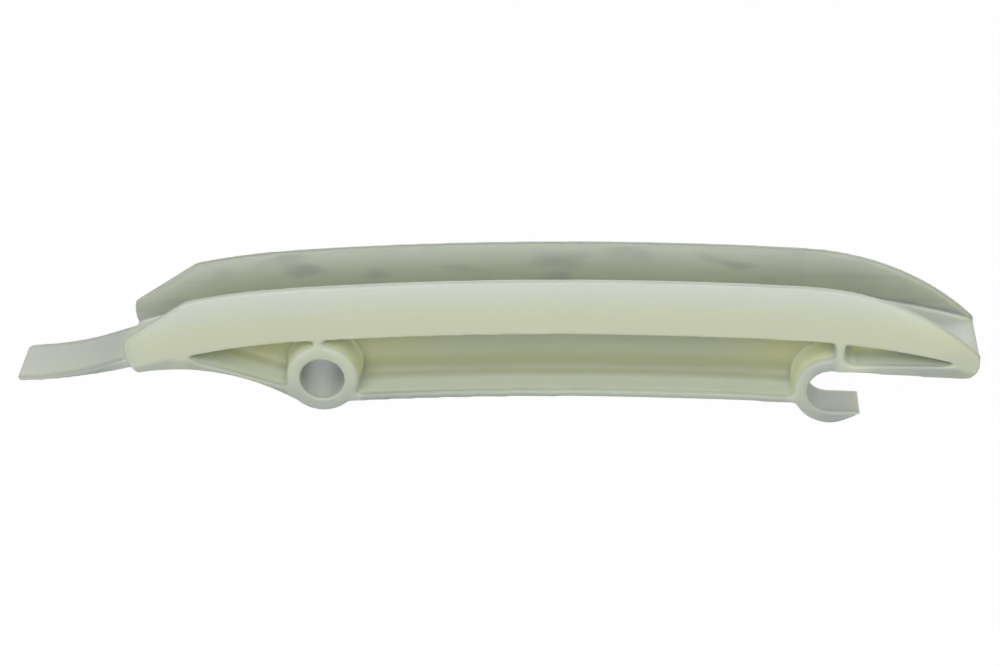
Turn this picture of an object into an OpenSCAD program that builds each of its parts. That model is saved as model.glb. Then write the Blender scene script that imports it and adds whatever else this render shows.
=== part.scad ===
// Timing chain guide, one injection moulding in natural polyamide.
// X runs along the chain, Y across it, Z up. Origin: centre of the pivot bore, mid width.

/* [Channel] */
// Width over both side walls
body_w = 17.6; // [14:0.1:26]
// Thickness of each side wall
wall_t = 1.5; // [1:0.1:2.5]
// Height of the side walls above the running floor
wall_h = 9.85; // [6:0.05:14]
// Thickness of the running floor
floor_t = 2.3; // [1.6:0.1:4]
// Radius of the rounded wall edges
edge_r = 0.5; // [0.2:0.05:0.6]

/* [Running line] */
// Radius of the running floor between the ends
run_r = 750; // [500:5:1200]
// Distance from the pivot to the crown of the floor
crown_x = 68; // [55:0.5:80]
// Height of the running floor at the crown
crown_z = 14.2; // [12:0.1:18]
// Angle from the crown to the start of the left end curve
left_a = 5.6; // [4:0.1:6]
// Angle from the crown to the start of the right end curve
right_a = 2.2; // [1.5:0.1:3]
// Floor radius of the left end curve
left_r = 142; // [110:1:200]
// Floor radius of the right end curve
right_r = 150; // [110:1:200]

/* [Ends] */
// Distance from the pivot to the blunt left end of the walls
left_end = 40.2; // [36:0.1:44]
// Angle of the straight run-in on the left end of the walls
run_in_a = 35; // [25:1:45]
// Radius of the run-out curve on the right end of the walls
run_out_r = 52.5; // [40:0.5:70]
// Distance from the pivot to the right end
right_end = 131.6; // [128:0.1:136]
// Radius of the lower corner on the right end
nose_r = 3; // [2:0.1:3.6]

/* [Tongue] */
// Distance from the pivot to the tip of the lead-in tongue
tongue_end = 62.8; // [56:0.1:70]
// Width of the tongue
tongue_w = 14.2; // [10:0.1:14.4]
// Thickness of the tongue at its tip
tongue_t = 0.7; // [0.5:0.05:1.2]
// Radius of the upward curve on the tongue
tongue_r = 58; // [45:1:80]
// Corner radius of the tongue in plan
tongue_corner = 1.5; // [0.5:0.1:3]

/* [Lower beam] */
// Thickness of the middle web
web_t = 1.7; // [1.2:0.1:3]
// Thickness of the lower flange
chord_t = 1.7; // [1.2:0.1:2.4]
// Height from the running floor to the underside of the lower flange
beam_h = 16.7; // [15:0.1:18]
// Size of the coves beside the web on the lower flange
cove_r = 2.2; // [1:0.1:2.6]
// Radius of the relief under the left arm
relief_r = 43.5; // [38:0.5:50]
// Thickness of the upright ribs
rib_t = 2; // [1.2:0.1:3]

/* [Pivot and hook] */
// Diameter of the pivot bore
bore_d = 9; // [8:0.1:10]
// Outside diameter of the pivot boss and of the hook
boss_d = 14.9; // [13:0.1:16]
// Distance between the pivot bore and the hook seat
pin_pitch = 102.3; // [98:0.1:106]
// Width of the hook slot
slot_w = 9.2; // [8:0.1:10]
// Depth of the hook across the guide
hook_depth = 9; // [7:0.1:10]
// Reach of the hook jaw beyond the seat centre
jaw_reach = 6.6; // [5:0.1:7]

/* [Hidden] */
$fn = 96;
// hair by which neighbouring forms stand off each other, and the angle by which they lap
eps = 0.02;
lap_a = 0.3;
inner_w = body_w - 2 * wall_t;
half_w = body_w / 2;
run_c = [crown_x, crown_z - run_r];
left_c = run_c + (run_r - left_r) * [-sin(left_a), cos(left_a)];
right_c = run_c + (run_r - right_r) * [sin(right_a), cos(right_a)];
run_out_c = run_c + (run_r + wall_h - run_out_r) * [sin(right_a), cos(right_a)];
boss_r = boss_d / 2;
slot_r = slot_w / 2;
chord_r = run_r - beam_h;
// left end of the walls: radius of the rounded lower corner
heel_r = 7.8;
heel_c = [heel_r - left_end, 6];
// run-in line passes through this point
run_in_p = [-left_end, 7.5];
// relief circle bites a hair into the boss so that the two run into each other
relief_x = -28.3;
relief_gap = relief_r + boss_r - 0.05;
relief_c = [relief_x, -sqrt(relief_gap * relief_gap - relief_x * relief_x)];
// tongue: turning point between the floor curve and the upward curve
turn_a = asin((left_c[0] + 43.4) / left_r);
turn_p = left_c + left_r * [-sin(turn_a), cos(turn_a)];
tongue_c = turn_p + tongue_r * [-sin(turn_a), cos(turn_a)];
tip_z = tongue_c[1] - sqrt(tongue_r * tongue_r - pow(tongue_end + tongue_c[0], 2));
// underside of the tongue: circle through tip and root
sole_r = 110;
sole_a = [-tongue_end, tip_z - tongue_t];
sole_b = [-left_end + 1, left_c[1] + sqrt(pow(left_r - floor_t, 2) - pow(left_end - 1 + left_c[0], 2))];
sole_m = (sole_a + sole_b) / 2;
sole_d = sole_b - sole_a;
sole_l = norm(sole_d);
sole_c = sole_m + sqrt(sole_r * sole_r - sole_l * sole_l / 4) * [-sole_d[1], sole_d[0]] / sole_l;
// right lower flange leaves the top of the slot and ends tangent to the nose
foot_a = -2.4;
foot_p = [pin_pitch, 0] + slot_r * [-sin(foot_a), cos(foot_a)];
foot_l = (right_end - 3 * eps - nose_r - foot_p[0] + nose_r * sin(foot_a)) / cos(foot_a);
foot_d = [cos(foot_a), sin(foot_a)];
nose_c = foot_p + foot_l * foot_d + nose_r * [-sin(foot_a), cos(foot_a)];
nose_x = nose_c[0] + nose_r;
// pocket on the right: its top line rises a little and ends in a point under the floor
end_x = right_end - 2.9;
end_tip = [end_x, right_c[1] + sqrt(pow(right_r - floor_t, 2) - pow(end_x - right_c[0], 2))];
end_q = foot_p + 3 * foot_d + [0, chord_t];
end_d = (end_tip - end_q) / norm(end_tip - end_q);
hook_y = -half_w + hook_depth / 2;
floor_fillet = 0.5;
tongue_e = 0.25;
left_stop = asin((left_c[0] + left_end + 1) / (left_r - floor_t));
// pocket on the left: pointed tip under the floor and the line from there to the boss
tip_p = [-28, left_c[1] + sqrt(pow(left_r - floor_t, 2) - pow(28 + left_c[0], 2))];
arm_p = [-4.5, -2.7];
arm_a = atan((arm_p[1] - tip_p[1]) / (arm_p[0] - tip_p[0]));
arm_top = tip_p - 3.4 * [cos(arm_a), sin(arm_a)];
chord_a0 = asin((crown_x - 2.6) / chord_r);
chord_a1 = asin((pin_pitch - boss_r + 1.5 - crown_x) / chord_r);
hook_c = [pin_pitch, 0];
// straight tangent from the hook outside to the jaw tip
jaw_p = hook_c + boss_r * [cos(-60), sin(-60)];
jaw_tip = [pin_pitch + jaw_reach, jaw_p[1] + (pin_pitch + jaw_reach - jaw_p[0]) * tan(30)];
keep_z = run_c[1] + sqrt(chord_r * chord_r - pow(pin_pitch - boss_r - crown_x, 2));

// turn a section drawn as (radius, across) about an axis along Y
module sweep(c, a0, a1) {
  translate([c[0], 0, c[1]]) rotate([90, 0, 0]) rotate([0, 0, a0])
    rotate_extrude(angle = a1 - a0, $fn = 1440) children();
}

// pull a section drawn as (height, across) along a line through p at angle a, from l0 to l1
module run(p, a, l0, l1) {
  translate([p[0], 0, p[1]]) rotate([0, -90 - a, 0]) translate([0, 0, -l1])
    linear_extrude(height = l1 - l0) children();
}

// side view outline drawn in (x, z), pulled through width w about y
module plate(w, y = 0) {
  translate([0, y + w / 2, 0]) rotate([90, 0, 0]) linear_extrude(height = w) children();
}

// corner piece left between a square and the circle inside it, corner at the origin
module corner(e) {
  difference() {
    square(e);
    translate([e, e]) circle(r = e, $fn = 48);
  }
}

// hollow cove in a corner at the origin, in three flats
module cove(e) {
  polygon([[-eps, -eps], [-eps, e], [0, e], [0.134 * e, 0.5 * e], [0.5 * e, 0.134 * e], [e, 0], [e, -eps]]);
}

// rectangle r0 to r1 by y0 to y1, its two outer corners rounded
module bar(r0, r1, y0, y1, e) {
  difference() {
    translate([r0, y0]) square([r1 - r0, y1 - y0]);
    translate([r1, y0]) mirror([1, 0]) corner(e);
    translate([r1, y1]) rotate([0, 0, 180]) corner(e);
  }
}

// disc about a Y axis with a rounded rim
module disc(c, r, w, e) {
  translate([c[0], 0, c[1]]) rotate([90, 0, 0]) rotate_extrude($fn = r > 20 ? 1440 : 96)
    bar(0, r, -w / 2, w / 2, e);
}

// round cut about a Y axis that leaves rounded edges on a body of width w
module scoop(c, r, w, e) {
  translate([c[0], 0, c[1]]) rotate([90, 0, 0]) rotate_extrude($fn = 1440) {
    translate([0, -w]) square([r, 2 * w]);
    for (s = [0, 1]) mirror([0, s]) translate([r, w / 2]) mirror([0, 1]) corner(e);
  }
}

// both side walls in section, top edge at r
module walls(r, h, g = 0) {
  for (s = [0, 1]) mirror([0, s]) bar(r - h, r, inner_w / 2 + g, half_w - g, edge_r);
}

// running floor in section, top at r, with the fillets beside the walls
module floor_section(r, t, g = 0) {
  translate([r - t, g - half_w]) square([t, body_w - 2 * g]);
  for (s = [0, 1]) mirror([0, s]) translate([r, inner_w / 2]) mirror([0, 1]) corner(floor_fillet);
}

// lower flange in section, underside at r, with a web of height h on it
module chord_section(r, h) {
  translate([r, -half_w + eps]) square([chord_t, body_w - 2 * eps]);
  translate([r + chord_t / 2, -web_t / 2 - eps]) square([h + chord_t / 2, web_t + 2 * eps]);
  for (s = [0, 1]) mirror([0, s]) translate([r + chord_t, web_t / 2 + eps]) cove(cove_r);
}

// all that lies above the run-in line
module run_in_cut() {
  plate(body_w + 4) translate(run_in_p) rotate([0, 0, run_in_a]) translate([-30, 0]) square([110, 40]);
}

// flared left end: channel on the left curve and the arm below it, trimmed to the run-in and heel
module left_part() {
  difference() {
    intersection() {
      union() {
        sweep(left_c, 90 + left_a, 90 + left_stop) {
          floor_section(left_r, floor_t);
          walls(left_r + wall_h, wall_h + floor_t / 2);
        }
        difference() {
          plate(body_w - 4 * eps) intersection() {
            translate(left_c) circle(r = left_r - floor_t / 2, $fn = 1440);
            polygon([[-left_end - 2, -8], [-left_end - 2, 12], arm_top, arm_p, [arm_p[0], -8]]);
          }
          scoop(relief_c, relief_r, body_w, edge_r);
        }
        run(tip_p, arm_a, -0.8, norm(arm_p - tip_p) - 1)
          for (s = [0, 1]) mirror([0, s]) translate([0, web_t / 2]) cove(cove_r);
        plate(web_t) intersection() {
          translate(left_c) circle(r = left_r - floor_t / 2, $fn = 1440);
          polygon([tip_p - [1, 0.6], [tip_p[0] - 1, 14], [4, 14], [4, arm_p[1]], arm_p - [0, 1]]);
        }
      }
      union() {
        disc(heel_c, heel_r, body_w + 2 * eps, edge_r);
        plate(body_w + 2) translate([heel_c[0], -30]) square([60, 80]);
      }
    }
    run_in_cut();
  }
}

// lead-in tongue: wedge between the sole curve and the floor curve, then the upward curve
module tongue() {
  intersection() {
    disc(sole_c, sole_r, tongue_w, tongue_e);
    union() {
      intersection() {
        disc(left_c, left_r - 2 * eps, tongue_w, tongue_e);
        plate(body_w) translate([turn_p[0], -20]) square([4.2 - left_end - turn_p[0], 40]);
      }
      difference() {
        plate(body_w) translate([-tongue_end - 2, -20]) square([turn_p[0] + tongue_end + 2, 30]);
        scoop(tongue_c, tongue_r, tongue_w, tongue_e);
      }
    }
    translate([0, 0, -20]) linear_extrude(height = 40)
      mirror([1, 0]) bar(30, tongue_end, -tongue_w / 2, tongue_w / 2, tongue_corner);
  }
}

// open hook: full ring on the front half, only its upper wall on the rear half
module hook() {
  difference() {
    union() {
      disc(hook_c, boss_r, body_w + 2 * eps, edge_r);
      plate(hook_depth - eps, hook_y) polygon([hook_c, jaw_p, jaw_tip, [jaw_tip[0], -slot_r + 1]]);
      plate(web_t - 2 * eps) intersection() {
        translate(right_c) circle(r = right_r - floor_t / 2, $fn = 1440);
        polygon([[pin_pitch - boss_r - 2, -1], [pin_pitch - boss_r - 2, 20], [nose_c[0], 20],
          [nose_c[0], nose_c[1] - 2], [pin_pitch, 5]]);
      }
    }
    plate(body_w + 2) {
      translate(hook_c) circle(r = slot_r);
      polygon([[pin_pitch, -slot_r], [pin_pitch + 12, -slot_r], [pin_pitch + 12, slot_r - 0.1],
        [pin_pitch, slot_r + 0.4]]);
    }
    translate([pin_pitch - boss_r - 1, hook_depth - half_w, -boss_r - 1])
      cube([3 * boss_r, body_w, boss_r + 1 + keep_z]);
  }
}

// right end: channel on the right curve with run-out walls, lower flange and rounded nose
module right_part() {
  intersection() {
    union() {
      sweep(right_c, 70, 90 - right_a + lap_a) floor_section(right_r - eps, floor_t - 2 * eps, eps);
      difference() {
        sweep(run_out_c, 35, 90 - right_a + lap_a) walls(run_out_r - eps, wall_h + 0.8 * floor_t, eps);
        plate(body_w + 2) translate(right_c) circle(r = right_r - floor_t / 2, $fn = 1440);
      }
    }
    translate([0, 0, -20]) linear_extrude(height = 60) bar(60, right_end, -half_w - eps, half_w + eps, edge_r);
  }
  plate(body_w - 2 * eps) {
    polygon([foot_p, foot_p + foot_l * foot_d, [nose_x, nose_c[1]], [nose_x, end_tip[1] + 0.4],
      end_tip + 2 * end_d, end_q, foot_p + [0, chord_t]]);
    intersection() {
      translate(nose_c) circle(r = nose_r + eps);
      translate(nose_c - [0, 2 * nose_r]) square(2 * nose_r);
    }
  }
}

// upright rib between a boss and the floor
module rib(x, z0, z1) {
  plate(body_w - 8 * eps) translate([x - rib_t / 2, z0]) square([rib_t, z1 - z0]);
}

module chain_guide() color([0.80, 0.81, 0.72]) difference() {
  union() {
    sweep(run_c, 90 - right_a, 90 + left_a) {
      floor_section(run_r, floor_t);
      walls(run_r + wall_h, wall_h + floor_t / 2);
    }
    sweep(run_c, 90 - chord_a1, 90 + chord_a0) chord_section(chord_r, beam_h - floor_t / 2 - chord_t);
    left_part();
    tongue();
    hook();
    right_part();
    disc([0, 0], boss_r, body_w + 2 * eps, edge_r);
    rib(-0.65, boss_r - 1, crown_z - 4.2);
    rib(pin_pitch + 1.5, boss_r - 1.5, crown_z - 2);
  }
  rotate([90, 0, 0]) cylinder(d = bore_d, h = body_w + 2, center = true);
}

chain_guide();
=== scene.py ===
"""Dresses the timing chain guide: one moulding in natural polyamide, on a white studio floor."""

import math
from types import SimpleNamespace

import bmesh
import bpy
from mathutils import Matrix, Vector


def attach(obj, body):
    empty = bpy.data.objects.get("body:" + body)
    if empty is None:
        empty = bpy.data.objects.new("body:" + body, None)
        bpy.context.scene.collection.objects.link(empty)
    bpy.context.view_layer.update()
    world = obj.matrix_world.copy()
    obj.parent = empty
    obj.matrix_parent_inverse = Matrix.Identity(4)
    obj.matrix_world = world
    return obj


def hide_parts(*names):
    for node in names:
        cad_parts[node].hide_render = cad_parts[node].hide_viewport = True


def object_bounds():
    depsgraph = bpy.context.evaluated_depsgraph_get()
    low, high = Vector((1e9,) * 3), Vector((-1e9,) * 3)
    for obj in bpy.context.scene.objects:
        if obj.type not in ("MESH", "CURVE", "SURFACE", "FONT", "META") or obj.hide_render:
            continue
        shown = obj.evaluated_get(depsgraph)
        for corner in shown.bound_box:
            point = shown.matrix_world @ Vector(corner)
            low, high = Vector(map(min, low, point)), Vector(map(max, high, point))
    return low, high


bl_info = {
    "name": "Timing chain guide",
    "version": (1, 0, 0),
    "blender": (4, 5, 0),
    "location": "3D View > Sidebar > Chain guide",
    "description": "Finishes the moulded chain guide and sets it on a studio floor",
    "category": "Object",
}

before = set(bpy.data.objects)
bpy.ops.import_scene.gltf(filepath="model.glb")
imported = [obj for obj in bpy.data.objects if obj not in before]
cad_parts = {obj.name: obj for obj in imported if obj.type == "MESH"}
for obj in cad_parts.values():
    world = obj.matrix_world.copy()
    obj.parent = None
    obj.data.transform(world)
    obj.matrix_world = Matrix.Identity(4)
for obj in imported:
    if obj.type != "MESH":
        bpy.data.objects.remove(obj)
CAD_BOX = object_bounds()
GUIDE = "chain_guide"

# Millimetres in a metre.
MM = 1000.0
WHITE = (1.0, 1.0, 1.0, 1.0)
# Sockets of a Mix node that mixes colours, which share their names with others.
MIX_MASK, MIX_A, MIX_B, MIX_OUT = 0, 6, 7, 2

# Pairs of limits in millimetres: a mask runs from 0 to 1 between the two. Where there are two
# pairs, it rises across the first and falls across the second.
# Along the guide, from the pivot bore towards the hook.
TONGUE_HEM_X = (-46.0, -42.0)
CHANNEL_X = (-44.0, -40.0)
WARM_X = (-43.0, -33.0)
TONGUE_X = (-42.0, -38.0)
RUN_IN_X = (-41.5, -40.5)
ARM_END_X = (-41.0, -38.5)
HEEL_TIP_X = (-40.0, -34.0)
HEEL_X = (-32.0, -26.0)
ARM_X = ((-30.0, -26.0), (-8.0, -6.5))
LEFT_POCKET_X = (-15.0, -8.5)
WEB_X = ((4.0, 30.0), (76.0, 96.0))
LIP_X = ((7.0, 9.0), (93.0, 95.0))
WORN_X = (80.0, 112.0)
FOOT_X = (94.0, 100.0)
JAW_X = (99.0, 101.5)
HUB_X = ((102.5, 104.0), (107.0, 112.0))
RIGHT_POCKET_X = (103.0, 106.0)
HOOK_TOP_X = (103.2, 104.4)
TOE_X = ((110.0, 122.0), (126.0, 130.0))
COOL_NOSE_X = (122.0, 131.0)
NOSE_X = (123.0, 130.0)
NOSE_END_X = (127.0, 130.0)
NOSE_FACE_X = (129.0, 131.0)
# Off the middle plane.
CREASE_SIDE = ((0.9, 1.1), (1.3, 1.8))
FLANGE_SIDE = (1.2, 4.0)
TONGUE_SIDE = (4.8, 7.1)
TONGUE_HEM_SIDE = (6.7, 7.0)
WALL_SIDE = (7.0, 7.5)
INSIDE_SIDE = (7.2, 7.5)
FACE_SIDE = (7.5, 8.4)
JAW_SIDE = (7.9, 8.7)
# From the near wall to the far one.
FAR_Y = (-2.0, 2.0)
# Above the pivot bore.
LOW_FACE_Z = (-6.0, 2.0)
JAW_Z = (-2.5, -1.5)
HOOK_TOP_Z = (5.0, 5.6)
# Above the running floor.
WEB_FOOT_RISE = (-12.6, -10.0)
BEAM_RISE = (-4.0, -2.6)
TRACK_RISE = ((-0.6, -0.2), (0.1, 0.5))
RUBBED_RISE = (0.2, 0.7)
WARM_RISE = (1.5, 9.0)
BAND_RISE = (2.0, 9.0)
RIM_RISE = (8.9, 9.6)
# Beyond the run-in and run-out edges of the walls, and from the axes of the seats.
END_RIM = (-0.9, -0.25)
DRUM_REACH = (7.5, 7.9)
SEAT_REACH = (4.7, 5.1)
# Half the length over which one floor circle hands over to the next.
JOINT_FADE = 0.5
# Length over which the rim of the run-out begins.
RUN_OUT_FADE = 4.0
# How much higher the beam's colours reach at the heel.
HEEL_LIFT = 1.5
# How far the drums' round sides widen the fade to the outer faces, inwards and outwards.
DRUM_FADE = (0.4, 0.1)

# Shares of the tones in their zones.
WARM_SHARE, WARM_CLOUD = 0.85, 0.3
COOL_NOSE_SHARE = 0.5
END_RIM_SHARE = 0.8
NEAR_RIM_SHARE, FAR_RIM_MORE = 0.4, 0.5
ARM_SHARE = 0.6
TOE_SHARE = 0.35
HEEL_TIP_SHARE = 0.75
TIP_SHARE = 0.27
JAW_FACE_LESS = 0.1
TONGUE_SHARE, TONGUE_EDGE_MORE = 0.2, 0.8
TONGUE_HEM_SHARE = 0.6
BAND_SHARE, LOW_BAND_MORE = 0.55, 0.6
SMUDGE_SHARE = 0.8
RUB_SHARE, WORN_RUB_MORE = 0.35, 0.5
WORN_SHARE = 0.4

# Noises: patches a metre along, across and up, detail, and the limits of the marks.
SMUDGE_NOISE, SMUDGE_LIMITS = ((75.0, 140.0, 210.0), 1.0), (0.52, 0.78)
RUB_NOISE, RUB_LIMITS = ((28.0, 300.0, 330.0), 3.0), (0.50, 0.80)
CLOUD_NOISE = {"Scale": 45.0, "Detail": 3.0, "Roughness": 0.55}
GRAIN_NOISE = {"Scale": 900.0, "Detail": 2.0, "Roughness": 0.6}
# Surface and inside of the plastic.
GLOSS, GLOSS_CLOUD = 0.42, 0.10
GRAIN_BUMP = {"Strength": 0.12, "Distance": 0.0001}
PLASTIC = {"IOR": 1.53, "Subsurface Radius": (0.0030, 0.0029, 0.0014), "Subsurface Scale": 1.5}

# Where the beam's edges are softened, in millimetres, and how much of the softening is held back.
SOFT_RISE = (-3.0, -1.8)
RECESS_DEPTH = (0.7, 1.3)
RECESS_END_X = (101.0, 104.0)
RELIEF_END_X = -6.0
EDGE_SIDE, EDGE_HELD = (6.3, 7.9), 0.75
SEAT_RIM, SEAT_RIM_SHARE, SEAT_RIM_MORE = (5.0, 6.0), 0.15, 0.85
SOFT_JAW_X, SOFT_JAW_Z, JAW_HELD = (100.0, 102.0), (-3.0, 0.0), 0.85
SOFT_FACTOR = 0.5
# Corners of the solid's triangles closer than this, in metres, become one.
MERGE_GAP = 2e-6

# Stage, in metres: half the floor's width, place and width of the lamps, nearest point seen.
FLOOR_REACH = 6.0
KEY_LAMP = ((-0.05, -0.85, 0.60), 1.3)
BACK_LAMP = ((0.15, 0.95, 0.28), 0.9)
NEAREST = 0.01
# Sensor width in millimetres.
SENSOR = 36.0


class Wire:
    """A socket in a material's node tree. Arithmetic on it adds Math nodes."""

    def __init__(self, tree, socket=None):
        self.tree = tree
        self.socket = socket

    def add(self, kind, settings=None, sockets=None, out=0):
        """Adds a node: its type, its settings, then the values or links of its sockets."""
        node = self.tree.nodes.new(kind)
        for name, value in (settings or {}).items():
            setattr(node, name, value)
        for name, value in (sockets or {}).items():
            if isinstance(value, Wire):
                self.tree.links.new(value.socket, node.inputs[name])
            else:
                node.inputs[name].default_value = value
        return Wire(self.tree, node.outputs[out]) if node.outputs else node

    def maths(self, operation, a, b=0.0):
        return self.add("ShaderNodeMath", {"operation": operation}, {0: a, 1: b})

    def __add__(self, other):
        return self.maths("ADD", self, other)

    __radd__ = __add__

    def __sub__(self, other):
        return self.maths("SUBTRACT", self, other)

    def __rsub__(self, other):
        return self.maths("SUBTRACT", other, self)

    def __mul__(self, other):
        return self.maths("MULTIPLY", self, other)

    __rmul__ = __mul__

    def __pow__(self, other):
        return self.maths("POWER", self, other)

    def either(self, other):
        """The larger of two masks."""
        return self.maths("MAXIMUM", self, other)

    def step(self, low, high):
        """0 below low, 1 above high, smooth between."""
        return self.add(
            "ShaderNodeMapRange",
            {"interpolation_type": "SMOOTHSTEP"},
            {"Value": self, "From Min": low, "From Max": high},
        )

    def fade(self, low, high):
        """1 below low, 0 above high, smooth between."""
        return 1.0 - self.step(low, high)

    def span(self, start, stop):
        """1 between two pairs of limits: rises across the first pair and falls across the second."""
        return self.step(*start) * self.fade(*stop)

    def stretched_noise(self, place, scale, detail):
        """Soft noise whose patches are 1 / scale metres long on each axis."""
        spread = self.add("ShaderNodeMapping", None, {"Vector": place, "Scale": scale})
        return self.add("ShaderNodeTexNoise", None, {"Vector": spread, "Scale": 1.0, "Detail": detail})

    def blend(self, mask, a, b):
        """Colour a where mask is 0, colour b where it is 1."""
        sockets = {MIX_MASK: mask, MIX_A: a, MIX_B: b}
        return self.add("ShaderNodeMix", {"data_type": "RGBA"}, sockets, out=MIX_OUT)

    def seen(self):
        """1 for rays from the camera, off gloss and through glass, which meet a white backdrop."""
        rays = ("Is Camera Ray", "Is Glossy Ray", "Is Transmission Ray")
        camera, gloss, glass = (self.add("ShaderNodeLightPath", out=ray) for ray in rays)
        return camera.either(gloss.either(glass))


def new_material(name):
    material = bpy.data.materials.new(name)
    material.use_nodes = True
    material.node_tree.nodes.clear()
    return material, Wire(material.node_tree)


def rgb(colour):
    return (*colour, 1.0)


def joints(look):
    """Where the crown circle runs into the left and right circles, along X in millimetres."""
    reach_l = look.run_r * math.sin(look.left_a)
    reach_r = look.run_r * math.sin(look.right_a)
    return (look.crown_x - reach_l) * MM, (look.crown_x + reach_r) * MM


def running_circles(look):
    """Centre X, centre Z and radius, in millimetres, of the left, crown and right floor circles."""
    base = look.crown_z - look.run_r
    for r, angle in ((look.left_r, -look.left_a), (look.run_r, 0.0), (look.right_r, look.right_a)):
        step = look.run_r - r
        cx = look.crown_x + step * math.sin(angle)
        cz = base + step * math.cos(angle)
        yield cx * MM, cz * MM, r * MM


def floor_rise(look, x, z):
    """Height above the running floor, in millimetres: three circles that run into each other."""
    left, crown, right = (
        ((x - cx) ** 2 + (z - cz) ** 2) ** 0.5 - r
        for cx, cz, r in running_circles(look)
    )
    past_l, past_r = (x.step(joint - JOINT_FADE, joint + JOINT_FADE) for joint in joints(look))
    return left * (1.0 - past_l) + crown * past_l * (1.0 - past_r) + right * past_r


def places(w, look):
    """What the masks read, in millimetres: the axes, the reach off the middle, the floor's rise."""
    point = w.add("ShaderNodeTexCoord", out="Object")
    split = "ShaderNodeSeparateXYZ"
    x, y, z = (w.add(split, None, {"Vector": point}, out=axis) * MM for axis in "XYZ")
    side = w.maths("ABSOLUTE", y)
    return SimpleNamespace(point=point, x=x, y=y, z=z, side=side, rise=floor_rise(look, x, z))


def channel(at):
    """1 between the side walls, from the end of the tongue on."""
    return at.side.fade(*INSIDE_SIDE) * at.x.step(*CHANNEL_X)


def run_in_rim(look, at):
    """1 along the straight edge of the walls at the left end."""
    over = (at.z - look.run_in_z * MM) * math.cos(look.run_in_a)
    over = over - (at.x + look.left_end * MM) * math.sin(look.run_in_a)
    return over.step(*END_RIM) * at.x.step(*RUN_IN_X)


def run_out_rim(look, at):
    """1 along the round edge of the walls at the right end."""
    step = look.run_r + look.wall_h - look.run_out_r
    cx = (look.crown_x + step * math.sin(look.right_a)) * MM
    cz = (look.crown_z - look.run_r + step * math.cos(look.right_a)) * MM
    over = ((at.x - cx) ** 2 + (at.z - cz) ** 2) ** 0.5 - look.run_out_r * MM
    return over.step(*END_RIM) * at.x.step(cx, cx + RUN_OUT_FADE)


def channel_tone(w, look, at, cloud):
    """Walls and floor: warmer where the plastic is thick, painted light on the running floor and
    painted shade on the rims.
    """
    warm = at.rise.fade(*WARM_RISE) * at.x.step(*WARM_X)
    warm = warm * (1.0 - COOL_NOSE_SHARE * at.x.step(*COOL_NOSE_X))
    tone = w.blend(warm * (WARM_SHARE + WARM_CLOUD * cloud), rgb(look.wall_top), rgb(look.wall_foot))
    # Painted light: the up-facing running floor is paler than the walls, for light the low lamps give
    # it too little.
    track = channel(at) * at.rise.span(*TRACK_RISE)
    tone = w.blend(track, tone, rgb(look.painted_light_floor))
    end_rims = run_in_rim(look, at).either(run_out_rim(look, at))
    # Painted shade: the rounded rims are darkened to dim their highlight, most on the far wall.
    rim = at.rise.step(*RIM_RISE).either(END_RIM_SHARE * end_rims)
    rim = rim * (NEAR_RIM_SHARE + FAR_RIM_MORE * at.y.step(*FAR_Y))
    return w.blend(rim, tone, rgb(look.rim_shade))


def outer_tone(w, look, at):
    """Front and rear faces of arm, boss, flange, hook and foot, in painted shade: darker towards the
    bottom, darkest on the flange's narrow edges, where it dims their highlight.
    """
    feet = (at.x.step(*FOOT_X) * (1.0 - at.x.span(*HUB_X))).either(at.x.fade(*HEEL_X))
    low = feet.either(at.z.fade(*LOW_FACE_Z))
    # Painted shade: arm, flange lip and toe take the darker edge colour.
    arm = ARM_SHARE * at.x.span(*ARM_X)
    lip = at.x.span(*LIP_X) * low
    toe = TOE_SHARE * at.x.span(*TOE_X)
    # Painted shade: the lower outer faces are darker than those higher up.
    tone = w.blend(low, rgb(look.boss_face), rgb(look.beam_face_shade))
    return w.blend(arm.either(lip).either(toe), tone, rgb(look.flange_edge_shade))


def web_tone(w, look, at):
    """Web: painted shade, grey in the middle, darker and yellow at its foot, in the crease at the
    flange, at its ends and in the left pocket; painted light in the narrow right pocket.
    """
    # Painted shade: the web lies deep under the floor, so its colours are darker than the plastic's.
    middle = at.x.span(*WEB_X)
    tone = w.blend(1.0 - middle, rgb(look.web_shade), rgb(look.corner))
    tone = w.blend(at.rise.fade(*WEB_FOOT_RISE), tone, rgb(look.web_foot_shade))
    tone = w.blend(at.side.span(*CREASE_SIDE) * middle, tone, rgb(look.crease_shade))
    tone = w.blend(at.x.fade(*LEFT_POCKET_X), tone, rgb(look.left_pocket_shade))
    # Painted light: the deep narrow pocket beside the hook gets a very pale colour that lifts its
    # shadow.
    return w.blend(at.x.step(*RIGHT_POCKET_X), tone, rgb(look.right_pocket_light))


def beam_tone(w, look, at):
    """All that is under the floor: web in painted shade, paler flange, round sides in painted light,
    seats in a grey of their own, outer faces.
    """
    tone = w.blend(at.side.step(*FLANGE_SIDE), web_tone(w, look, at), rgb(look.flange_top))
    tone = w.blend(at.x.step(*NOSE_END_X), tone, rgb(look.boss_face))
    rings = []
    for centre in (0.0, look.pin_pitch * MM):
        reach = ((at.x - centre) ** 2 + at.z * at.z) ** 0.5
        rings.append(reach.fade(*DRUM_REACH))
        # Painted light: the round sides of boss and hook glow pale yellow, for light scattered into
        # them.
        tone = w.blend(rings[-1], tone, rgb(look.boss_side_glow))
        tone = w.blend(reach.fade(*SEAT_REACH), tone, rgb(look.bore))
    drum = rings[0].either(rings[1])
    # Painted light: the top of the hook takes the paler running-floor colour.
    hook_top = drum * at.x.step(*HOOK_TOP_X) * at.z.step(*HOOK_TOP_Z)
    tone = w.blend(hook_top, tone, rgb(look.painted_light_floor))
    face = at.side.step(FACE_SIDE[0] - DRUM_FADE[0] * drum, FACE_SIDE[1] + DRUM_FADE[1] * drum)
    return w.blend(face, tone, outer_tone(w, look, at))


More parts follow.
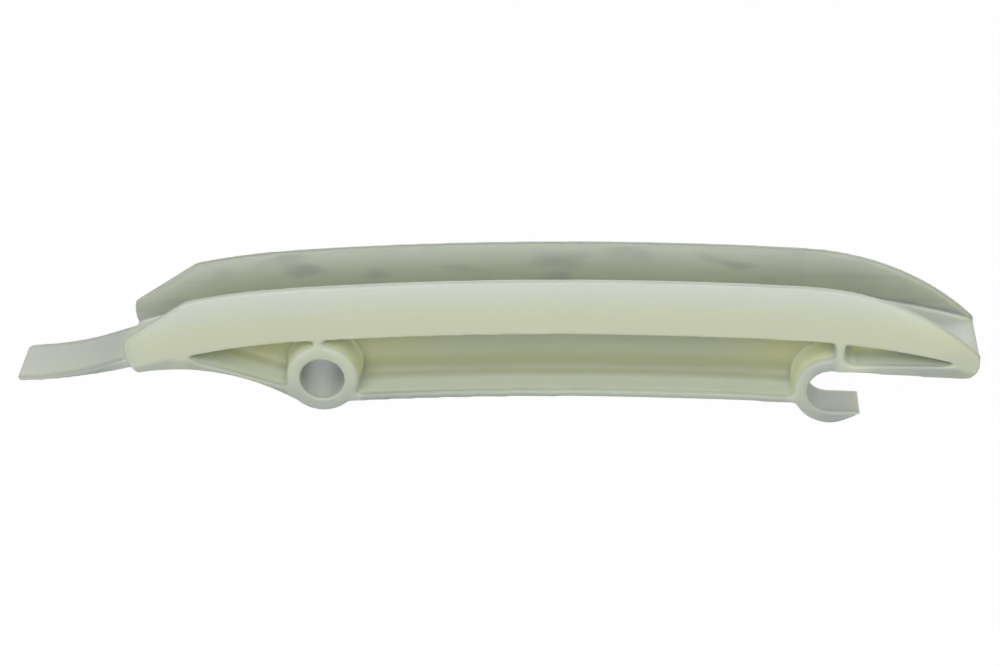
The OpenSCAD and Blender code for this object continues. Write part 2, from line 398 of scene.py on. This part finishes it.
def end_tone(w, look, at, tone):
    """Darker where the moulding ends, and painted shade greying the jaw and the tongue, most on the
    tongue's edges.
    """
    tips = at.x.step(*NOSE_X).either(HEEL_TIP_SHARE * at.x.fade(*HEEL_TIP_X))
    tips = (tips * at.side.step(*WALL_SIDE)).either(at.x.step(*NOSE_FACE_X))
    tone = w.blend(TIP_SHARE * tips, tone, rgb(look.web_foot_shade))
    # Painted shade: the jaw and the tongue are greyed, the tongue's edges most.
    jaw = at.x.step(*JAW_X) * at.z.fade(*JAW_Z) * (1.0 - JAW_FACE_LESS * at.side.step(*JAW_SIDE))
    edge = at.x.fade(*TONGUE_X) * (TONGUE_SHARE + TONGUE_EDGE_MORE * at.side.step(*TONGUE_SIDE))
    tone = w.blend(jaw.either(edge), tone, rgb(look.jaw_shade))
    # Painted shade along the tongue's side edges near its root.
    hem = TONGUE_HEM_SHARE * at.x.fade(*TONGUE_HEM_X) * at.side.step(*TONGUE_HEM_SIDE)
    return w.blend(hem, tone, rgb(look.rub_shade_colour))


def rub_and_shade_tone(w, look, at, tone):
    """Inside of the channel, where the chain runs: a band of painted shade that deepens towards the
    floor, soft smudges of painted dark reflection, fine rub marks, and more wear towards the right
    end.
    """
    smudge = w.stretched_noise(at.point, *SMUDGE_NOISE).step(*SMUDGE_LIMITS)
    rub = w.stretched_noise(at.point, *RUB_NOISE).step(*RUB_LIMITS)
    worn = at.x.step(*WORN_X)
    # Painted shade: a dark band inside the channel, deeper towards the floor, with smudges of painted
    # dark reflection; the rub marks are wear.
    band = BAND_SHARE + LOW_BAND_MORE * at.rise.fade(*BAND_RISE) + SMUDGE_SHARE * smudge
    band = band + (RUB_SHARE + WORN_RUB_MORE * worn) * rub + WORN_SHARE * worn
    mask = channel(at) * at.rise.step(*RUBBED_RISE) * band * look.rub_and_shade_strength
    return w.blend(mask, tone, rgb(look.rub_shade_colour))


def polyamide(look):
    """Natural polyamide: ivory with a faint green cast, satin, a little light inside."""
    material, w = new_material("natural_polyamide")
    at = places(w, look)
    cloud = w.add("ShaderNodeTexNoise", None, {"Vector": at.point, **CLOUD_NOISE})
    grain = w.add("ShaderNodeTexNoise", None, {"Vector": at.point, **GRAIN_NOISE})
    below = (at.rise - HEEL_LIFT * at.x.fade(*HEEL_X)).fade(*BEAM_RISE) * at.x.step(*ARM_END_X)
    tone = w.blend(below, channel_tone(w, look, at, cloud), beam_tone(w, look, at))
    tone = end_tone(w, look, at, tone)
    tone = rub_and_shade_tone(w, look, at, tone)
    shader = w.add(
        "ShaderNodeBsdfPrincipled",
        None,
        {
            "Base Color": tone,
            "Roughness": GLOSS + GLOSS_CLOUD * cloud,
            "Normal": w.add("ShaderNodeBump", None, {"Height": grain, **GRAIN_BUMP}),
            "Subsurface Weight": look.inner_light,
            **PLASTIC,
        },
    )
    w.add("ShaderNodeOutputMaterial", None, {"Surface": shader})
    return material


def paper(stage):
    """Pale floor that reads as white to the camera and keeps a faint shadow."""
    material, w = new_material("pale_floor")
    cloth = w.add("ShaderNodeBsdfDiffuse", None, {"Color": rgb(stage.floor_colour)})
    glow = w.add("ShaderNodeEmission", None, {"Color": WHITE, "Strength": 1.0})
    mixed = w.add("ShaderNodeMixShader", None, {0: w.seen() * stage.white_share, 1: cloth, 2: glow})
    w.add("ShaderNodeOutputMaterial", None, {"Surface": mixed})
    return material


def settle(context, piece):
    """Applies the piece's modifiers to its mesh."""
    finished = piece.evaluated_get(context.evaluated_depsgraph_get())
    rough = piece.data
    piece.data = bpy.data.meshes.new_from_object(finished)
    piece.modifiers.clear()
    bpy.data.meshes.remove(rough)


def ramp(value, low, high):
    """0 below low, 1 above high, straight between."""
    return min(max((value - low) / (high - low), 0.0), 1.0)


def beam_share(look, point):
    """1 on the recessed sides of the beam, less on its lower edges, seats and jaw, 0 above."""
    x, y, z = (MM * value for value in point)
    joint_l, joint_r = joints(look)
    left, crown, right = running_circles(look)
    cx, cz, r = left if x < joint_l else right if x > joint_r else crown
    rise = math.hypot(x - cx, z - cz) - r
    over_flange = rise + MM * look.beam_h
    over_relief = MM * (math.hypot(point.x - look.relief_x, point.z - look.relief_z) - look.relief_r)
    depth = over_relief if x < RELIEF_END_X else over_flange
    recess = ramp(depth, *RECESS_DEPTH) * (1.0 - ramp(x, *RECESS_END_X))
    seat = min(math.hypot(x, z), math.hypot(x - MM * look.pin_pitch, z))
    edge = 1.0 - EDGE_HELD * ramp(abs(y), *EDGE_SIDE) * (1.0 - recess)
    seat_rim = SEAT_RIM_SHARE + SEAT_RIM_MORE * ramp(seat, *SEAT_RIM)
    jaw = 1.0 - JAW_HELD * ramp(x, *SOFT_JAW_X) * (1.0 - ramp(z, *SOFT_JAW_Z))
    return (1.0 - ramp(rise, *SOFT_RISE)) * ramp(x, *HEEL_X) * edge * seat_rim * jaw


class GuideFinish(bpy.types.PropertyGroup):
    """Colours and finish of the moulding."""

    wall_top: bpy.props.FloatVectorProperty(
        name="Wall tops", description="Colour of the thin plastic: wall tops and tongue",
        subtype="COLOR", size=3, min=0.0, max=1.0, default=(0.55, 0.587, 0.552))
    wall_foot: bpy.props.FloatVectorProperty(
        name="Wall feet", description="Colour of the thicker plastic around the floor",
        subtype="COLOR", size=3, min=0.0, max=1.0, default=(0.535, 0.565, 0.43))
    # Painted shade: the lower outer faces are darker than the walls above.
    beam_face_shade: bpy.props.FloatVectorProperty(
        name="Beam faces", description="Colour of the lower outer faces of boss, hook and foot",
        subtype="COLOR", size=3, min=0.0, max=1.0, default=(0.385, 0.42, 0.38))
    boss_face: bpy.props.FloatVectorProperty(
        name="Boss faces", description="Colour of the outer faces higher up, as on the boss",
        subtype="COLOR", size=3, min=0.0, max=1.0, default=(0.48, 0.52, 0.42))
    flange_top: bpy.props.FloatVectorProperty(
        name="Flange top", description="Colour of the upper side of the flange",
        subtype="COLOR", size=3, min=0.0, max=1.0, default=(0.58, 0.62, 0.555))
    # Painted light: a paler colour on the running floor and the hook's top.
    painted_light_floor: bpy.props.FloatVectorProperty(
        name="Running floor", description="Colour of the floor that the chain runs on",
        subtype="COLOR", size=3, min=0.0, max=1.0, default=(0.68, 0.72, 0.65))
    # Painted shade on the jaw and on the tongue.
    jaw_shade: bpy.props.FloatVectorProperty(
        name="Jaw", description="Colour of the jaw of the hook and of the tongue's edges",
        subtype="COLOR", size=3, min=0.0, max=1.0, default=(0.345, 0.37, 0.36))
    # Painted shade on the flange's narrow edges, dimming their highlight.
    flange_edge_shade: bpy.props.FloatVectorProperty(
        name="Flange edges", description="Colour of the narrow outer edges of the flange",
        subtype="COLOR", size=3, min=0.0, max=1.0, default=(0.262, 0.29, 0.28))
    # Painted light: a bright yellow glow on the round sides of boss and hook.
    boss_side_glow: bpy.props.FloatVectorProperty(
        name="Boss sides", description="Colour of the round sides of boss and hook",
        subtype="COLOR", size=3, min=0.0, max=1.0, default=(0.71, 0.74, 0.535))
    # Painted shade in the crease where the web meets the flange.
    crease_shade: bpy.props.FloatVectorProperty(
        name="Web foot", description="Colour where the web meets the flange",
        subtype="COLOR", size=3, min=0.0, max=1.0, default=(0.30, 0.32, 0.205))
    # Painted shade on the lower web, also used to darken the moulding's ends.
    web_foot_shade: bpy.props.FloatVectorProperty(
        name="Lower web", description="Colour of the lower part of the web",
        subtype="COLOR", size=3, min=0.0, max=1.0, default=(0.335, 0.355, 0.208))
    # Painted shade inside the left pocket.
    left_pocket_shade: bpy.props.FloatVectorProperty(
        name="Left pocket", description="Colour inside the pocket between arm and boss",
        subtype="COLOR", size=3, min=0.0, max=1.0, default=(0.42, 0.435, 0.24))
    # Painted light: a very pale colour that brightens the deep narrow pocket.
    right_pocket_light: bpy.props.FloatVectorProperty(
        name="Right pocket", description="Colour inside the narrow pocket beside the hook",
        subtype="COLOR", size=3, min=0.0, max=1.0, default=(0.80, 0.83, 0.58))
    bore: bpy.props.FloatVectorProperty(
        name="Seats", description="Colour inside the pivot bore and the hook seat",
        subtype="COLOR", size=3, min=0.0, max=1.0, default=(0.46, 0.49, 0.44))
    # Painted shade on the rounded wall rims, dimming their highlight.
    rim_shade: bpy.props.FloatVectorProperty(
        name="Wall rims", description="Colour of the rounded upper edges of the walls",
        subtype="COLOR", size=3, min=0.0, max=1.0, default=(0.32, 0.345, 0.325))
    # Painted shade on the recessed web.
    web_shade: bpy.props.FloatVectorProperty(
        name="Web", description="Colour of the thin web between boss and hook",
        subtype="COLOR", size=3, min=0.0, max=1.0, default=(0.38, 0.41, 0.31))
    # Painted shade in the recess corners beside boss and hook.
    corner: bpy.props.FloatVectorProperty(
        name="Recess corners", description="Colour in the corners beside boss and hook",
        subtype="COLOR", size=3, min=0.0, max=1.0, default=(0.42, 0.44, 0.265))
    # Colour of the rub marks, and of the painted shade and painted dark reflections inside the channel
    # and on the tongue's hem.
    rub_shade_colour: bpy.props.FloatVectorProperty(
        name="Rub marks", description="Colour of the faint marks inside the channel",
        subtype="COLOR", size=3, min=0.0, max=1.0, default=(0.262, 0.287, 0.29))
    # Strength of the rub marks together with the painted shade band and smudges.
    rub_and_shade_strength: bpy.props.FloatProperty(
        name="Rub mark strength", description="How far the rub marks show",
        subtype="FACTOR", min=0.0, max=1.0, default=0.62)
    inner_light: bpy.props.FloatProperty(
        name="Inner light", description="Share of light that travels inside the plastic",
        subtype="FACTOR", min=0.0, max=1.0, default=0.8)
    skin_size: bpy.props.FloatProperty(
        name="Skin size", description="Cell size of the skin that rounds the moulded edges",
        unit="LENGTH", min=0.0002, default=0.00035)
    soft_steps: bpy.props.IntProperty(
        name="Softening", description="Smoothing steps on the moulded edges",
        min=0, default=6)
    beam_steps: bpy.props.IntProperty(
        name="Beam softening", description="More smoothing steps on boss, flange and hook",
        min=0, default=36)
    lean_share: bpy.props.FloatProperty(
        name="Share kept", description="Share of the skin's faces that is kept",
        subtype="FACTOR", min=0.05, max=1.0, default=0.35)
    pin_pitch: bpy.props.FloatProperty(
        name="Pin pitch", description="Distance from the pivot bore to the hook seat",
        unit="LENGTH", default=0.1023)
    crown_x: bpy.props.FloatProperty(
        name="Crown position", description="Crown of the running floor, along the guide",
        unit="LENGTH", default=0.068)
    crown_z: bpy.props.FloatProperty(
        name="Crown height", description="Height of the running floor at its crown",
        unit="LENGTH", default=0.0142)
    run_r: bpy.props.FloatProperty(
        name="Crown radius", description="Radius of the running floor at its crown",
        unit="LENGTH", default=0.750)
    wall_h: bpy.props.FloatProperty(
        name="Wall height", description="Height of the walls above the running floor",
        unit="LENGTH", default=0.00985)
    left_end: bpy.props.FloatProperty(
        name="Left end", description="Reach of the walls to the left of the pivot bore",
        unit="LENGTH", default=0.0402)
    run_in_z: bpy.props.FloatProperty(
        name="Run-in height", description="Height of the straight run-in edge at the left end",
        unit="LENGTH", default=0.0075)
    run_in_a: bpy.props.FloatProperty(
        name="Run-in angle", description="Slope of the straight run-in edge",
        unit="ROTATION", default=math.radians(35.0))
    run_out_r: bpy.props.FloatProperty(
        name="Run-out radius", description="Radius of the walls' edge at the right end",
        unit="LENGTH", default=0.0525)
    beam_h: bpy.props.FloatProperty(
        name="Beam height", description="From the running floor to the lower face of the flange",
        unit="LENGTH", default=0.0167)
    relief_r: bpy.props.FloatProperty(
        name="Relief radius", description="Radius of the relief under the left arm",
        unit="LENGTH", default=0.0435)
    relief_x: bpy.props.FloatProperty(
        name="Relief centre, along", description="Centre of the relief, along the guide",
        unit="LENGTH", default=-0.0283)
    relief_z: bpy.props.FloatProperty(
        name="Relief centre, height", description="Height of the centre of the relief",
        unit="LENGTH", default=-0.04231)
    left_r: bpy.props.FloatProperty(
        name="Left radius", description="Radius of the running floor on the left",
        unit="LENGTH", default=0.142)
    right_r: bpy.props.FloatProperty(
        name="Right radius", description="Radius of the running floor on the right",
        unit="LENGTH", default=0.150)
    left_a: bpy.props.FloatProperty(
        name="Left joint", description="Angle from the crown to the left curve",
        unit="ROTATION", default=math.radians(5.6))
    right_a: bpy.props.FloatProperty(
        name="Right joint", description="Angle from the crown to the right curve",
        unit="ROTATION", default=math.radians(2.2))


class StudioSettings(bpy.types.PropertyGroup):
    """Floor, lamps and camera."""

    floor_colour: bpy.props.FloatVectorProperty(
        name="Floor", description="Colour of the paper floor",
        subtype="COLOR", size=3, min=0.0, max=1.0, default=(0.80, 0.80, 0.80))
    white_share: bpy.props.FloatProperty(
        name="White share", description="How white the floor looks to the camera",
        subtype="FACTOR", min=0.0, max=1.0, default=0.985)
    key_power: bpy.props.FloatProperty(
        name="Key lamp", description="Power of the large lamp above the front",
        unit="POWER", min=0.0, default=12.4)
    back_share: bpy.props.FloatProperty(
        name="Back lamp", description="Power of the back lamp as a share of the key lamp",
        subtype="FACTOR", min=0.0, max=1.0, default=0.38)
    fill_strength: bpy.props.FloatProperty(
        name="Room light", description="Strength of the even light all round",
        min=0.0, default=0.13)
    azimuth: bpy.props.FloatProperty(
        name="Azimuth", description="Camera turn about the vertical, towards +X",
        unit="ROTATION", default=math.radians(2.76))
    elevation: bpy.props.FloatProperty(
        name="Elevation", description="Camera angle above the floor",
        unit="ROTATION", default=math.radians(30.0))
    distance: bpy.props.FloatProperty(
        name="Distance", description="Camera distance from the point it looks at",
        unit="LENGTH", default=0.5723)
    target: bpy.props.FloatVectorProperty(
        name="Target", description="Point at the middle of the picture",
        subtype="XYZ", unit="LENGTH", size=3, default=(0.03558, 0.0, 0.00677))
    lens: bpy.props.FloatProperty(
        name="Lens", description="Focal length on a 36 mm sensor, in millimetres",
        min=10.0, default=101.52)


class CHAINGUIDE_OT_moulding(bpy.types.Operator):
    """Finishes the one-piece moulding in natural polyamide"""

    bl_idname = "chainguide.moulding"
    bl_label = "Finish the moulding"

    def execute(self, context):
        look = context.scene.chain_guide_finish
        solid = bmesh.new()
        solid.from_mesh(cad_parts[GUIDE].data)
        bmesh.ops.remove_doubles(solid, verts=solid.verts, dist=MERGE_GAP)
        mesh = bpy.data.meshes.new("guide_moulding")
        solid.to_mesh(mesh)
        solid.free()
        piece = bpy.data.objects.new("guide_moulding", mesh)
        context.scene.collection.objects.link(piece)
        skin = piece.modifiers.new("skin", "REMESH")
        skin.mode = "VOXEL"
        skin.voxel_size = look.skin_size
        skin.use_smooth_shade = True
        settle(context, piece)
        beam = piece.vertex_groups.new(name="beam")
        for vertex in piece.data.vertices:
            share = beam_share(look, vertex.co)
            if share > 0.0:
                beam.add((vertex.index,), share, "REPLACE")
        # all edges first, then the beam alone
        for name, steps, group in (
            ("soft_edges", look.soft_steps, ""),
            ("soft_beam", look.beam_steps, "beam"),
        ):
            soft = piece.modifiers.new(name, "SMOOTH")
            soft.factor = SOFT_FACTOR
            soft.iterations = steps
            soft.vertex_group = group
        lean = piece.modifiers.new("lean", "DECIMATE")
        lean.ratio = look.lean_share
        settle(context, piece)
        piece.vertex_groups.clear()
        piece.data.name = "guide_moulding"
        piece.data.materials.clear()
        piece.data.materials.append(polyamide(look))
        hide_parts(GUIDE)
        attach(piece, "root")
        return {"FINISHED"}


class CHAINGUIDE_OT_studio(bpy.types.Operator):
    """Sets the floor, the soft lamps and the camera"""

    bl_idname = "chainguide.studio"
    bl_label = "Set the studio"

    def execute(self, context):
        scene = context.scene
        stage = scene.chain_guide_studio
        target = Vector(stage.target)
        shape = bmesh.new()
        bmesh.ops.create_grid(shape, x_segments=1, y_segments=1, size=FLOOR_REACH)
        bmesh.ops.translate(shape, verts=shape.verts, vec=(0.0, 0.0, CAD_BOX[0].z))
        mesh = bpy.data.meshes.new("floor")
        shape.to_mesh(mesh)
        shape.free()
        mesh.materials.append(paper(stage))
        floor = bpy.data.objects.new("floor", mesh)
        scene.collection.objects.link(floor)

        for name, (place, width), power in (
            ("key_lamp", KEY_LAMP, stage.key_power),
            ("back_lamp", BACK_LAMP, stage.key_power * stage.back_share),
        ):
            lamp = bpy.data.lights.new(name, "AREA")
            lamp.shape = "DISK"
            lamp.size = width
            lamp.energy = power
            holder = bpy.data.objects.new(name, lamp)
            holder.location = place
            aim = target - Vector(place)
            holder.rotation_euler = aim.to_track_quat("-Z", "Y").to_euler()
            scene.collection.objects.link(holder)

        world = bpy.data.worlds.new("room")
        world.use_nodes = True
        world.node_tree.nodes.clear()
        w = Wire(world.node_tree)
        strength = w.seen() * (1.0 - stage.fill_strength) + stage.fill_strength
        sky = w.add("ShaderNodeBackground", None, {"Color": WHITE, "Strength": strength})
        w.add("ShaderNodeOutputWorld", None, {"Surface": sky})
        scene.world = world
        scene.view_settings.view_transform = "Standard"

        a, e = stage.azimuth, stage.elevation
        back = Vector((math.sin(a) * math.cos(e), -math.cos(a) * math.cos(e), math.sin(e)))
        lens = bpy.data.cameras.new("camera")
        lens.sensor_width = SENSOR
        lens.lens = stage.lens
        lens.clip_start = NEAREST
        camera = bpy.data.objects.new("camera", lens)
        camera.location = target + back * stage.distance
        camera.rotation_euler = (-back).to_track_quat("-Z", "Y").to_euler()
        scene.collection.objects.link(camera)
        scene.camera = camera
        return {"FINISHED"}


class CHAINGUIDE_PT_sidebar(bpy.types.Panel):
    """Lists the steps and settings of the chain guide"""

    bl_idname = "CHAINGUIDE_PT_sidebar"
    bl_label = "Chain guide"
    bl_space_type = "VIEW_3D"
    bl_region_type = "UI"
    bl_category = "Chain guide"

    def draw(self, context):
        layout = self.layout
        for group in (context.scene.chain_guide_finish, context.scene.chain_guide_studio):
            box = layout.box()
            for name in group.__annotations__:
                box.prop(group, name)
        for step in (CHAINGUIDE_OT_moulding, CHAINGUIDE_OT_studio):
            layout.operator(step.bl_idname)


CLASSES = (
    GuideFinish,
    StudioSettings,
    CHAINGUIDE_OT_moulding,
    CHAINGUIDE_OT_studio,
    CHAINGUIDE_PT_sidebar,
)


def register():
    for cls in CLASSES:
        bpy.utils.register_class(cls)
    bpy.types.Scene.chain_guide_finish = bpy.props.PointerProperty(type=GuideFinish)
    bpy.types.Scene.chain_guide_studio = bpy.props.PointerProperty(type=StudioSettings)


def unregister():
    del bpy.types.Scene.chain_guide_studio
    del bpy.types.Scene.chain_guide_finish
    for cls in reversed(CLASSES):
        bpy.utils.unregister_class(cls)


def main():
    register()
    bpy.ops.chainguide.moulding()
    bpy.ops.chainguide.studio()


if __name__ == "__main__":
    main()
